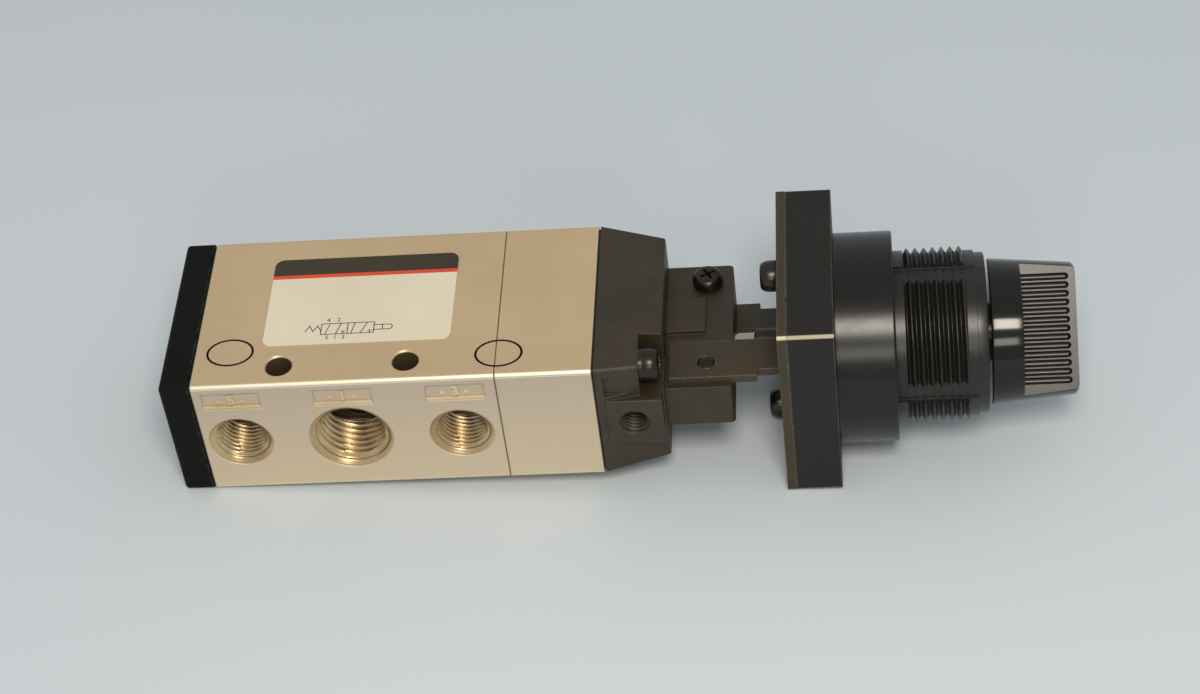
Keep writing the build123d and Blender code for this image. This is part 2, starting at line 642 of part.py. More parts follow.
# Bracket and its screws
with BuildPart() as mount_bracket:
    bend_z = BLOCK_H / 2 + PLATE_T + BEND_R
    with BuildSketch(Plane.YZ.offset(X_PLATE)):
        RectangleRounded(plate_w, plate_w, PLATE_CORNER)
        Circle(ROD_HOLE_R, mode=Mode.SUBTRACT)
        with Locations((0, base_screw_z), (0, -base_screw_z)):
            Circle(M3_R + CLEAR_HOLE, mode=Mode.SUBTRACT)
        for side in (1, -1):
            window_h = window_drop + bend_z
            window_w = TONGUE_OUT - TONGUE_IN
            middle_y = (TONGUE_OUT + TONGUE_IN) / 2
            with Locations((-side * middle_y, -side * (window_drop - window_h / 2))):
                Rectangle(window_w, window_h, mode=Mode.SUBTRACT)
    extrude(amount=PLATE_T)
    blade_l = tongue_l - NECK_L
    blade_x = X_PLATE - tongue_l
    for side in (1, -1):
        with BuildSketch(Plane.XY.offset(side * BLOCK_H / 2)):
            with Locations((blade_x + blade_l / 2, -side * middle_y)):
                Rectangle(blade_l, window_w)
            with Locations((X_BLOCK + BRACKET_SCREW_X, -side * BRACKET_SCREW_Y)):
                Circle(M3_R + SCREW_FIT, mode=Mode.SUBTRACT)
        extrude(amount=side * PLATE_T)
        with BuildSketch(Plane.XZ.offset(side * TONGUE_IN)):
            with BuildLine():
                flat_x = X_PLATE - NECK_L
                bend_x = X_PLATE - BEND_R
                near_z = side * BLOCK_H / 2
                far_z = side * (BLOCK_H / 2 + PLATE_T)
                end_z = side * bend_z
                Polyline((bend_x, far_z), (flat_x, far_z), (flat_x, near_z), (bend_x, near_z))
                CenterArc((bend_x, end_z), PLATE_T + BEND_R, -90 * side, 90 * side)
                Line((X_BASE, end_z), (X_PLATE, end_z))
                CenterArc((bend_x, end_z), BEND_R, 0, -90 * side)
            make_face()
        extrude(amount=side * (NECK_OUT - TONGUE_IN))
mount_bracket.part.label = "mount_bracket"

with BuildPart() as bracket_screws:
    for side in (1, -1):
        head_seat = Plane(
            origin=(X_BLOCK + BRACKET_SCREW_X, side * BRACKET_SCREW_Y, side * BLOCK_H / 2),
            x_dir=(1, 0, 0),
            z_dir=(0, 0, side),
        )
        add_screw(head_seat, M3_HEAD_R, M3_HEAD_H, M3_R, BLOCK_H + PLATE_T + TIP_OUT)
bracket_screws.part.label = "bracket_screws"

with BuildPart() as base_screws:
    for z in (base_screw_z, -base_screw_z):
        head_seat = Plane(origin=(X_PLATE, 0, z), z_dir=(-1, 0, 0))
        add_screw(head_seat, M3_HEAD_R, BASE_HEAD_H, M3_R, PLATE_T + BASE_SCREW_GRIP)
base_screws.part.label = "base_screws"

# Operator housing
with BuildPart() as operator_base:
    with BuildSketch(Plane.YZ.offset(X_BASE)):
        RectangleRounded(plate_w, plate_w, BASE_CORNER)
    extrude(amount=BASE_L)
    disc(X_BASE, BASE_L, ROD_R + RUN_FIT, Mode.SUBTRACT)
    disc(X_COLLAR - ROD_SPRING_FLOOR, ROD_SPRING_FLOOR, ROD_SPRING_ROOM_R, Mode.SUBTRACT)
    screw_places = ((0, base_screw_z), (0, -base_screw_z))
    holes_along_x(X_BASE, BASE_SCREW_GRIP + 1, screw_places, M3_R + SCREW_FIT)
operator_base.part.label = "operator_base"

with BuildPart() as base_collar:
    disc(X_COLLAR, COLLAR_L, collar_r)
    fillet(base_collar.faces().sort_by(Axis.X)[-1].edges(), EDGE_R / 2)
    disc(X_COLLAR, COLLAR_L, sleeve_r + FIXED_FIT, Mode.SUBTRACT)
    disc(-SPIGOT_L, SPIGOT_L, SPIGOT_R + FIXED_FIT, Mode.SUBTRACT)
    disc(-SEAT_RECESS_L, SEAT_RECESS_L, THREAD_R + SEAT_RECESS_GAP, Mode.SUBTRACT)
base_collar.part.label = "base_collar"

with BuildPart() as threaded_bushing:
    disc(-SPIGOT_L, SPIGOT_L, SPIGOT_R)
    disc(-SEAT_RECESS_L, SEAT_RECESS_L + SHOULDER_L, SHOULDER_R)
    disc(SHOULDER_L, THREAD_L, THREAD_R)
    disc(SHOULDER_L + THREAD_L, RUNOUT_L, RUNOUT_R)
    disc(0, BUSHING_L, BUSHING_END_R)
    fillet(threaded_bushing.faces().sort_by(Axis.X)[-1].edges(), EDGE_R / 2)
    for quarter in range(4):
        with BuildSketch(Plane.YZ):
            with PolarLocations(THREAD_R, 1, start_angle=90 * quarter):
                Rectangle(2 * FLAT_DEPTH, FLAT_W)
        extrude(amount=BUSHING_L, mode=Mode.SUBTRACT)
    disc(-SPIGOT_L, SPIGOT_L - SLEEVE_START + RUN_FIT, sleeve_r + FIXED_FIT, Mode.SUBTRACT)
    drum_end_x = X_COLLAR + DRUM_END_GAP + DRUM_L
    disc(-SPIGOT_L, SPIGOT_L + drum_end_x + SHOULDER_GAP, DRUM_R + DRUM_ROOM, Mode.SUBTRACT)
    disc(-SPIGOT_L, SPIGOT_L + BUSHING_L, SHAFT_R + RUN_FIT, Mode.SUBTRACT)
    disc(BUSHING_L - SHAFT_SEAL_L, SHAFT_SEAL_L, SHAFT_SEAL_R, Mode.SUBTRACT)
threaded_bushing.part.label = "threaded_bushing"

with BuildPart() as shaft_seal:
    ring(BUSHING_L - SHAFT_SEAL_L, SHAFT_SEAL_L - 2 * RUN_FIT, SHAFT_SEAL_R - FIXED_FIT, SHAFT_R + RUN_FIT)
shaft_seal.part.label = "shaft_seal"

# Cam: the pin is held from turning by the sleeve and pushed along by the drum's helical slots
with BuildPart() as cam_sleeve:
    sleeve_x = -SLEEVE_START - SLEEVE_L
    ring(sleeve_x, SLEEVE_L, sleeve_r, DRUM_R + RUN_FIT)
    with BuildSketch(Plane.XZ.offset(-sleeve_r)):
        with Locations((CAM_PIN_X - PLUNGER_TRAVEL / 2, 0)):
            SlotCenterToCenter(PLUNGER_TRAVEL, 2 * (CAM_PIN_R + CAM_PLAY))
    extrude(amount=2 * sleeve_r, mode=Mode.SUBTRACT)
cam_sleeve.part.label = "cam_sleeve"

with BuildPart() as selector_shaft:
    drum_x = X_COLLAR + DRUM_END_GAP
    disc(drum_x, DRUM_L, DRUM_R)
    disc(drum_x + DRUM_L, X_KNOB - drum_x - DRUM_L, SHAFT_R)
    with BuildSketch(Plane.YZ.offset(X_KNOB)):
        Rectangle(DRIVE_W, DRIVE_W, rotation=KNOB_ANGLE)
    extrude(amount=SHAFT_IN_KNOB)
    disc(drum_x, DRUM_HOLLOW_L, ROD_HEAD_R + RUN_FIT, Mode.SUBTRACT)
    slot_r = (DRUM_R + ROD_HEAD_R) / 2
    slot_depth = DRUM_R - ROD_HEAD_R + 1
    slot_w = 2 * (CAM_PIN_R + CAM_PLAY)
    with BuildLine() as slot_path:
        Helix(
            pitch=PLUNGER_TRAVEL * 360 / CAM_TURN, height=PLUNGER_TRAVEL, radius=slot_r,
            center=(CAM_PIN_X - PLUNGER_TRAVEL, 0, 0), direction=(1, 0, 0), lefthand=True,
        )
    section = Plane(origin=slot_path.line @ 0, x_dir=(0, 0, 1), z_dir=slot_path.line % 0)
    with BuildSketch(section):
        Rectangle(slot_depth, slot_w)
    slot = sweep(path=slot_path.line, is_frenet=True, mode=Mode.PRIVATE)
    for half_turn in (0, 180):
        add(slot, rotation=(half_turn, 0, 0), mode=Mode.SUBTRACT)
    with BuildSketch(Plane.XY.offset(-DRUM_R)):
        with Locations((CAM_PIN_X - PLUNGER_TRAVEL, 0)):
            Circle(slot_w / 2)
    extrude(amount=2 * DRUM_R, mode=Mode.SUBTRACT)
    with BuildSketch(Plane.XZ.offset(-DRUM_R)):
        with Locations((CAM_PIN_X, 0)):
            Circle(slot_w / 2)
    extrude(amount=2 * DRUM_R, mode=Mode.SUBTRACT)
selector_shaft.part.label = "selector_shaft"

with BuildPart() as push_rod:
    disc(rod_head_x, ROD_HEAD_BACK + ROD_HEAD_FRONT, ROD_HEAD_R)
    rod_tip_x = plunger_tip_x + TIP_GAP
    disc(rod_tip_x, rod_head_x - rod_tip_x, ROD_R)
    with BuildSketch(Plane.XZ.offset(-ROD_HEAD_R)):
        with Locations((CAM_PIN_X, 0)):
            Circle(CAM_PIN_R + FIXED_FIT)
    extrude(amount=2 * ROD_HEAD_R, mode=Mode.SUBTRACT)
push_rod.part.label = "push_rod"

with BuildPart() as cam_pin:
    with BuildSketch(Plane.XZ.offset(-CAM_PIN_HALF)):
        with Locations((CAM_PIN_X, 0)):
            Circle(CAM_PIN_R)
    extrude(amount=2 * CAM_PIN_HALF)
cam_pin.part.label = "cam_pin"

with BuildPart() as push_rod_spring:
    rod_spring_x = X_COLLAR - ROD_SPRING_FLOOR
    coil(
        rod_spring_x, rod_head_x - rod_spring_x,
        ROD_SPRING_R, ROD_SPRING_WIRE, ROD_SPRING_TURNS,
    )
push_rod_spring.part.label = "push_rod_spring"

# Knob: a tapered round with a bar grip between two flats
with BuildPart() as knob:
    with BuildSketch(Plane.YZ.offset(X_KNOB)):
        Circle(KNOB_R)
    with BuildSketch(Plane.YZ.offset(X_KNOB_END)):
        Circle(KNOB_END_R)
    loft()
    grip_l = KNOB_L - KNOB_ROUND_L
    for side in (1, -1):
        with BuildSketch(Plane.YZ.offset(X_KNOB + KNOB_ROUND_L)):
            with PolarLocations(GRIP_HALF + KNOB_R / 2, 1, start_angle=KNOB_ANGLE + 90 * side):
                Rectangle(KNOB_R, 2 * KNOB_R)
        extrude(amount=grip_l, mode=Mode.SUBTRACT)
    fillet(knob.faces().sort_by(Axis.X)[-1].edges(), GRIP_EDGE)
    with BuildSketch(Plane.YZ.offset(X_KNOB)):
        Rectangle(DRIVE_W + 2 * FIXED_FIT, DRIVE_W + 2 * FIXED_FIT, rotation=KNOB_ANGLE)
    extrude(amount=SHAFT_IN_KNOB + FIXED_FIT, mode=Mode.SUBTRACT)
knob.part.label = "knob"

pieces = (
    end_cover, end_cover_gasket, end_cover_screws, valve_body, type_label,
    main_spool, spool_seals, spool_return_spring,
    body_gasket, adapter_body, adapter_screws, drive_piston, piston_seal,
    pilot_gasket, pilot_body, pilot_body_screws, pilot_screw_washers,
    pilot_spring_seat, pilot_poppet, pilot_spring, pilot_plunger, plunger_seal,
    actuator_block, block_screws, mount_bracket, bracket_screws, base_screws,
    operator_base, base_collar, threaded_bushing, shaft_seal,
    cam_sleeve, selector_shaft, push_rod, cam_pin, push_rod_spring, knob,
)
for piece in pieces:
    export_step(piece.part, f"parts/{piece.part.label}.step")
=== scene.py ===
"""Looks of the selector-operated spool valve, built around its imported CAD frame. Metres."""

import math

import bmesh
import bpy
from mathutils import Matrix, Vector


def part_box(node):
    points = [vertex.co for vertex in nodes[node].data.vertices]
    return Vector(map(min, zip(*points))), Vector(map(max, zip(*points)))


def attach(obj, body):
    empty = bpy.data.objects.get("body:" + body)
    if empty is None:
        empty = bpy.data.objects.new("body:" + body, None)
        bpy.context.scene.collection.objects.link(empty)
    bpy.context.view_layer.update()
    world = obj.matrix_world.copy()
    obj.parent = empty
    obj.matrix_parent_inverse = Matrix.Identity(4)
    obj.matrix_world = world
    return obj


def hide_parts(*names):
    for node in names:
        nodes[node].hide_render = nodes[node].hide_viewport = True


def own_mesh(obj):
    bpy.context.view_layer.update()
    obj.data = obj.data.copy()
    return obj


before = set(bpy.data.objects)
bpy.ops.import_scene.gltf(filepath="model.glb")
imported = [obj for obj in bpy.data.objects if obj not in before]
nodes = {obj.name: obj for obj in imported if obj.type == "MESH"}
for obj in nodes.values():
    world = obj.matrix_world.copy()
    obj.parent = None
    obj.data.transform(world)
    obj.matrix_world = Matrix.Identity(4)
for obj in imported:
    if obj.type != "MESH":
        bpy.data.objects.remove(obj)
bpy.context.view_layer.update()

MM = 0.001
AXIS = Vector((1, 0, 0))


def srgb(r, g, b):
    """Linear colour from 0-255 display values."""

    def lin(c):
        c /= 255
        return c / 12.92 if c <= 0.04045 else ((c + 0.055) / 1.055) ** 2.4

    return (lin(r), lin(g), lin(b), 1)


# Materials


class Nodes:
    """Short calls for building a node material."""

    def __init__(self, name):
        self.mat = bpy.data.materials.new(name)
        self.mat.use_nodes = True
        self.tree = self.mat.node_tree
        self.tree.nodes.clear()
        self.out = self.node("ShaderNodeOutputMaterial")
        self.bsdf = self.node("ShaderNodeBsdfPrincipled")
        self.link(self.bsdf.outputs["BSDF"], self.out.inputs["Surface"])
        self.coords = self.node("ShaderNodeTexCoord").outputs["Object"]

    def node(self, kind, **values):
        n = self.tree.nodes.new(kind)
        for key, value in values.items():
            setattr(n, key, value)
        return n

    def link(self, a, b):
        self.tree.links.new(a, b)

    def noise(self, scale, detail=2, rough=0.5, stretch=None):
        n = self.node("ShaderNodeTexNoise")
        n.inputs["Scale"].default_value = scale
        n.inputs["Detail"].default_value = detail
        n.inputs["Roughness"].default_value = rough
        if stretch:
            m = self.node("ShaderNodeMapping")
            m.inputs["Scale"].default_value = stretch
            self.link(self.coords, m.inputs["Vector"])
            self.link(m.outputs["Vector"], n.inputs["Vector"])
        else:
            self.link(self.coords, n.inputs["Vector"])
        return n.outputs["Fac"]

    def ramp(self, fac, low, high, a=(0, 0, 0, 1), b=(1, 1, 1, 1)):
        n = self.node("ShaderNodeValToRGB")
        n.color_ramp.elements[0].position = low
        n.color_ramp.elements[1].position = high
        n.color_ramp.elements[0].color = a
        n.color_ramp.elements[1].color = b
        self.link(fac, n.inputs["Fac"])
        return n.outputs["Color"]

    def mix(self, fac, a, b):
        n = self.node("ShaderNodeMix", data_type="RGBA")
        self.link(fac, n.inputs["Factor"])
        for value, socket in ((a, n.inputs["A"]), (b, n.inputs["B"])):
            if isinstance(value, tuple):
                socket.default_value = value
            else:
                self.link(value, socket)
        return n.outputs["Result"]

    def span(self, fac, low, high):
        n = self.node("ShaderNodeMapRange")
        n.inputs["To Min"].default_value = low
        n.inputs["To Max"].default_value = high
        self.link(fac, n.inputs["Value"])
        return n.outputs["Result"]

    def position(self):
        n = self.node("ShaderNodeSeparateXYZ")
        self.link(self.coords, n.inputs["Vector"])
        return n.outputs["X"], n.outputs["Y"], n.outputs["Z"]

    def calc(self, operation, a, b=0.0):
        n = self.node("ShaderNodeMath", operation=operation)
        for value, socket in ((a, n.inputs[0]), (b, n.inputs[1])):
            if isinstance(value, float):
                socket.default_value = value
            else:
                self.link(value, socket)
        return n.outputs["Value"]

    def bump(self, height, distance, strength=1.0, normal=None):
        n = self.node("ShaderNodeBump")
        n.inputs["Strength"].default_value = strength
        n.inputs["Distance"].default_value = distance
        self.link(height, n.inputs["Height"])
        if normal is not None:
            self.link(normal, n.inputs["Normal"])
        return n.outputs["Normal"]

    def bevel(self, radius):
        n = self.node("ShaderNodeBevel", samples=6)
        n.inputs["Radius"].default_value = radius
        return n.outputs["Normal"]

    def edge_mask(self, radius, low, high):
        """1 along sharp edges, 0 on the flats."""
        geo = self.node("ShaderNodeNewGeometry").outputs["Normal"]
        dot = self.node("ShaderNodeVectorMath", operation="DOT_PRODUCT")
        self.link(self.bevel(radius), dot.inputs[0])
        self.link(geo, dot.inputs[1])
        return self.ramp(dot.outputs["Value"], low, high, (1, 1, 1, 1), (0, 0, 0, 1))


def hole_shade_mask(m):
    """Painted shade: 1 in the mounting holes and in the passages near the valve axis, where these
    hollows lie in shade, 0 on the outside.
    """
    x, y, z = m.position()

    def length(a, b):
        return m.calc("SQRT", m.calc("ADD", m.calc("POWER", a, 2.0), m.calc("POWER", b, 2.0)))

    across = m.calc("ABSOLUTE", m.calc("ADD", x, 0.094))
    hole = length(m.calc("SUBTRACT", across, 0.01095), m.calc("ADD", y, 0.01377))
    core = length(y, z)
    return m.calc("MAXIMUM", m.calc("LESS_THAN", hole, 0.00228), m.calc("LESS_THAN", core, 0.0106))


def corner_mask(m, low, high):
    """0 to 1 as |y| + |z| goes from low to high mm: the crown of the long rounded edges."""
    x, y, z = m.position()
    reach = m.calc("ADD", m.calc("ABSOLUTE", y), m.calc("ABSOLUTE", z))
    n = m.node("ShaderNodeMapRange")
    n.inputs["From Min"].default_value = low * MM
    n.inputs["From Max"].default_value = high * MM
    m.link(reach, n.inputs["Value"])
    return n.outputs["Result"]


def paint_port_face_light(m, tone, upper, lower, line):
    """Painted light on the port faces: a cooler tone, lighter towards the bottom, with a thin painted
    highlight line where the edge starts.
    """
    x, y, z = m.position()
    face = m.calc("GREATER_THAN", m.calc("ABSOLUTE", y), 17.95 * MM)
    rise = m.node("ShaderNodeMapRange")
    rise.inputs["From Min"].default_value = -12 * MM
    rise.inputs["From Max"].default_value = 12 * MM
    m.link(z, rise.inputs["Value"])
    tone = m.mix(face, tone, m.mix(rise.outputs["Result"], lower, upper))
    off = m.calc("ABSOLUTE", m.calc("SUBTRACT", m.calc("ABSOLUTE", z), 11.83 * MM))
    return m.mix(m.calc("MULTIPLY", m.calc("LESS_THAN", off, 0.07 * MM), face), tone, line)


def finish(
    name, color, other=None, rough=(0.4, 0.5), metallic=0.0, grain=4000, grain_depth=4e-6,
    patch=120, edge=0.25, wear=None, wear_amount=0.5, specks=None, coat=0.0, specular=0.5,
    stretch=None, painted_hole_shade=None, edge_wear_and_highlight=None, corner=(30.31, 30.37), port_face_light=None,
):
    """A paint, plastic or metal with patchy colour, fine grain, soft edges and worn edges; optionally
    painted shade in holes, painted light on the port faces and pale edge-crown lines that are partly
    rubbed paint, partly painted highlight.
    """
    m = Nodes(name)
    tone = m.mix(m.ramp(m.noise(patch, 4, 0.6), 0.35, 0.65), color, other or color)
    if wear:
        worn = m.node("ShaderNodeMath", operation="MULTIPLY")
        m.link(m.edge_mask(edge * 1.6 * MM, 0.86, 0.995), worn.inputs[0])
        m.link(m.span(m.noise(900, 3, 0.7), -0.6 + wear_amount, wear_amount + 0.6), worn.inputs[1])
        worn.use_clamp = True
        tone = m.mix(worn.outputs["Value"], tone, wear)
    if specks:
        spots = m.node("ShaderNodeTexVoronoi")
        spots.inputs["Scale"].default_value = 900
        m.link(m.coords, spots.inputs["Vector"])
        near = m.ramp(spots.outputs["Distance"], 0.035, 0.06, (1, 1, 1, 1), (0, 0, 0, 1))
        few = m.node("ShaderNodeMath", operation="MULTIPLY")
        m.link(near, few.inputs[0])
        m.link(m.ramp(m.noise(160, 1), 0.56, 0.6), few.inputs[1])
        tone = m.mix(few.outputs["Value"], tone, specks)
    # Painted light: the port faces get a cooler tone, lighter towards the bottom, and a painted
    # highlight line near the edge.
    if port_face_light:
        tone = paint_port_face_light(m, tone, *port_face_light)
    # Painted shade: darker colour inside the mounting holes and the passages near the axis.
    if painted_hole_shade:
        tone = m.mix(hole_shade_mask(m), tone, painted_hole_shade)
    # Pale line along the crowns of the long edges: partly rubbed paint, partly a painted highlight.
    if edge_wear_and_highlight:
        tone = m.mix(corner_mask(m, *corner), tone, edge_wear_and_highlight)
    m.link(tone, m.bsdf.inputs["Base Color"])
    m.link(m.span(m.noise(patch * 4, 3), *rough), m.bsdf.inputs["Roughness"])
    m.link(
        m.bump(m.noise(grain, 2, 0.6, stretch), grain_depth, 1.0, m.bevel(edge * MM)),
        m.bsdf.inputs["Normal"],
    )
    m.bsdf.inputs["Metallic"].default_value = metallic
    m.bsdf.inputs["Specular IOR Level"].default_value = specular
    m.bsdf.inputs["Coat Weight"].default_value = coat
    m.bsdf.inputs["Coat Roughness"].default_value = 0.08
    return m.mat


die_cast = finish(
    "die_cast_paint", srgb(214, 189, 151), srgb(207, 181, 142), (0.34, 0.44), 0.5,
    grain=2600, grain_depth=7e-6, patch=60, edge=0.45, wear=srgb(225, 215, 190),
    # Painted shade: the darker colour inside the mounting holes and the passages near the axis.
    wear_amount=0.35, specks=srgb(110, 96, 72), painted_hole_shade=srgb(100, 88, 64),
    # Pale edge-crown line: partly rubbed paint, partly a painted highlight.
    edge_wear_and_highlight=srgb(246, 240, 214),
    # Painted light on the port faces: upper and lower tones, lighter towards the bottom, and a painted
    # highlight line.
    port_face_light=(srgb(199, 182, 162), srgb(221, 202, 172), srgb(240, 232, 204)),
)
raised_mark = finish(
    "raised_mark", srgb(228, 212, 178), srgb(214, 194, 158), (0.3, 0.4), 0.4,
    grain=2600, grain_depth=2e-6, edge=0.05,
)
cover_black = finish(
    "cover_black", srgb(13, 13, 11), srgb(18, 17, 14), (0.45, 0.58), 0.0,
    grain=2400, grain_depth=6e-6, edge=0.4, wear=srgb(120, 112, 92), wear_amount=0.1,
    specks=srgb(120, 115, 100), specular=0.1,
)
resin_black = finish(
    "resin_black", srgb(54, 44, 27), srgb(42, 35, 23), (0.42, 0.52), 0.0,
    grain=3200, grain_depth=5e-6, edge=0.25, wear=srgb(120, 110, 90), wear_amount=0.0,
    specks=srgb(130, 125, 110),
)
base_black = finish(
    "base_black", srgb(27, 25, 20), srgb(21, 20, 17), (0.42, 0.55), 0.0,
    grain=3600, grain_depth=6e-6, edge=0.3, wear=srgb(150, 138, 112), wear_amount=0.25,
    # Pale edge-crown line: partly rubbed paint, partly a painted highlight.
    specks=srgb(140, 135, 120), specular=0.35, edge_wear_and_highlight=srgb(176, 166, 140),
    corner=(36.5, 36.56),
)
bracket_black = finish(
    "bracket_black", srgb(64, 53, 34), srgb(54, 46, 31), (0.38, 0.5), 0.15,
    grain=3000, grain_depth=4e-6, edge=0.18, wear=srgb(170, 160, 135), wear_amount=0.2,
    # Pale edge-crown line: partly rubbed paint, partly a painted highlight.
    specks=srgb(150, 142, 120), edge_wear_and_highlight=srgb(190, 180, 152), corner=(36.6, 36.66),
)
collar_black = finish(
    "collar_black", srgb(17, 17, 13), srgb(13, 13, 10), (0.22, 0.3), 0.0,
    grain=1500, grain_depth=1.5e-6, edge=0.25, specks=srgb(120, 116, 106), specular=0.4,
)
gloss_black = finish(
    "gloss_black", srgb(12, 12, 9), srgb(9, 9, 7), (0.09, 0.14), 0.0,
    grain=1200, grain_depth=0.8e-6, edge=0.25, specks=srgb(100, 96, 88), specular=0.42,
)
grip_black = finish(
    "grip_black", srgb(22, 20, 15), srgb(16, 15, 12), (0.26, 0.32), 0.0,
    grain=3000, grain_depth=1.5e-6, edge=0.06, specular=0.5,
)
bushing_black = finish(
    "bushing_black", srgb(26, 25, 20), srgb(21, 20, 17), (0.28, 0.4), 0.0,
    grain=2600, grain_depth=3e-6, edge=0.12, specks=srgb(120, 116, 106),
)
screw_black = finish(
    "screw_black", srgb(70, 66, 58), srgb(52, 49, 44), (0.22, 0.34), 0.85,
    grain=5000, grain_depth=2e-6, edge=0.1, wear=srgb(170, 162, 148), wear_amount=0.2,
)
steel = finish(
    "bright_steel", srgb(200, 196, 188), srgb(185, 181, 172), (0.2, 0.32), 1.0,
    grain=900, grain_depth=1e-6, edge=0.1, stretch=(8, 1, 1),
)
turned_metal = finish(
    "turned_metal", srgb(190, 190, 194), srgb(175, 175, 180), (0.25, 0.36), 1.0,
    grain=900, grain_depth=1e-6, edge=0.1, stretch=(8, 1, 1),
)
plunger_steel = finish(
    "plunger_steel", srgb(196, 190, 178), srgb(182, 176, 164), (0.08, 0.14), 1.0,
    grain=900, grain_depth=0.5e-6, edge=0.08, stretch=(8, 1, 1),
)
thread_metal = finish(
    "cut_thread", srgb(208, 186, 146), srgb(180, 152, 110), (0.22, 0.34), 0.8,
    grain=1800, grain_depth=2e-6, edge=0.06, stretch=(1, 6, 1),
)
brass = finish("turned_brass", srgb(190, 150, 80), srgb(175, 138, 70), (0.25, 0.4), 1.0, edge=0.1)
rubber = finish("seal_rubber", srgb(26, 25, 24), srgb(20, 20, 19), (0.6, 0.75), edge=0.1)
rod_resin = finish("rod_resin", srgb(36, 28, 17), srgb(28, 23, 15), (0.4, 0.5), edge=0.15)
film = finish(
    "label_film", srgb(226, 217, 193), srgb(219, 210, 186), (0.28, 0.36), 0.0,
    grain=1200, grain_depth=1.5e-6, patch=40, edge=0.05,
)
film_black = finish("label_black", srgb(58, 46, 27), srgb(48, 39, 24), (0.35, 0.45), edge=0.05)
film_red = finish("label_red", srgb(222, 78, 40), srgb(212, 68, 36), (0.3, 0.4), edge=0.05)
joint_line = finish(
    "joint_line", srgb(112, 94, 66), srgb(88, 74, 52), (0.6, 0.75), patch=300, edge=0.05,
)
ink = finish("stamp_ink", srgb(42, 38, 33), srgb(60, 55, 46), (0.5, 0.6), patch=700, edge=0.02)

by_node = {
    "end_cover": cover_black, "valve_body": die_cast, "adapter_body": die_cast,
    "pilot_body": resin_black, "actuator_block": resin_black, "operator_base": base_black,
    "mount_bracket": bracket_black, "base_collar": collar_black, "knob": gloss_black,
    "threaded_bushing": bushing_black, "pilot_plunger": plunger_steel, "selector_shaft": screw_black,
    "cam_pin": steel, "spool_return_spring": steel, "pilot_spring": steel,
    "push_rod_spring": steel, "main_spool": turned_metal, "drive_piston": turned_metal,
    "pilot_spring_seat": brass, "push_rod": rod_resin, "cam_sleeve": rod_resin,
    "type_label": film, "body_gasket": joint_line,
}
for name, obj in nodes.items():
    look = by_node.get(name)
    if look is None:
        look = screw_black if "screw" in name else rubber
    if not obj.data.materials:
        obj.data.materials.append(look)
    for slot in obj.material_slots:
        slot.material = look


# Mesh helpers


def mesh_object(name, verts, faces, looks, smooth=True, sharp=35):
    """A new mesh object in the row frame, metres."""
    mesh = bpy.data.meshes.new(name)
    mesh.from_pydata([tuple(v) for v in verts], [], faces)
    obj = bpy.data.objects.new(name, mesh)
    bpy.context.scene.collection.objects.link(obj)
    for look in looks:
        mesh.materials.append(look)
    tidy(obj, smooth, sharp)
    return obj


def tidy(obj, smooth=True, sharp=35):
    """Outward faces, smooth shading and sharp edges by angle."""
    bm = bmesh.new()
    bm.from_mesh(obj.data)
    bmesh.ops.remove_doubles(bm, verts=bm.verts, dist=1e-7)
    bmesh.ops.recalc_face_normals(bm, faces=bm.faces)
    for face in bm.faces:
        face.smooth = smooth
    bm.to_mesh(obj.data)
    bm.free()
    if smooth:
        obj.data.set_sharp_from_angle(angle=math.radians(sharp))


def lathe(profile, segments, place=Matrix()):
    """Vertices and faces of a closed turned form from (along, radius) points in mm.

    A side with both ends on the axis makes no faces."""
    verts, faces = [], []
    count = len(profile)
    for i in range(segments):
        a = 2 * math.pi * i / segments
        for along, radius in profile:
            v = Vector((along, radius * math.cos(a), radius * math.sin(a))) * MM
            verts.append(place @ v)
    for i in range(segments):
        j = (i + 1) % segments
        for k in range(count):
            n = (k + 1) % count
            if profile[k][1] or profile[n][1]:
                faces.append((i * count + k, i * count + n, j * count + n, j * count + k))
    return verts, faces


def prism(outline, low, high, place=Matrix()):
    """A closed prism from an outline of (y, z) points in mm, along its own X."""
    count = len(outline)
    verts = [place @ (Vector((x, y, z)) * MM) for x in (low, high) for y, z in outline]
    faces = [tuple(range(count)), tuple(range(2 * count - 1, count - 1, -1))]
    for k in range(count):
        n = (k + 1) % count
        faces.append((k, n, count + n, count + k))
    return verts, faces


def cut(obj, cutter):
    """Takes the cutter out of obj, for good."""
    modifier = obj.modifiers.new("cut", "BOOLEAN")
    modifier.operation = "DIFFERENCE"
    modifier.solver = "EXACT"
    modifier.object = cutter
    graph = bpy.context.evaluated_depsgraph_get()
    done = bpy.data.meshes.new_from_object(obj.evaluated_get(graph))
    obj.modifiers.clear()
    old = obj.data
    obj.data = done
    bpy.data.meshes.remove(old)
    bpy.data.objects.remove(cutter)
    tidy(obj)


def joined(name, parts, looks, smooth=True, sharp=35):
    """One object from several (verts, faces) pairs."""
    verts, faces = [], []
    for v, f in parts:
        base = len(verts)
        verts.extend(v)
        faces.extend([tuple(base + k for k in face) for face in f])
    return mesh_object(name, verts, faces, looks, smooth, sharp)


def facing(origin, out, turn=0.0):
    """Local X points out of the surface at origin (mm)."""
    out = Vector(out).normalized()
    rot = AXIS.rotation_difference(out).to_matrix().to_4x4()
    spin = Matrix.Rotation(turn, 4, "X")
    return Matrix.Translation(Vector(origin) * MM) @ rot @ spin


def box_mm(node):
    low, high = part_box(node)
    return Vector(low) / MM, Vector(high) / MM


# Screws with cross recesses


def cross_outline(arm, width):
    a, w = arm, width / 2
    return [
        (a, w), (w, w), (w, a), (-w, a), (-w, w), (-a, w),
        (-a, -w), (-w, -w), (-w, -a), (w, -a), (w, -w), (a, -w),
    ]


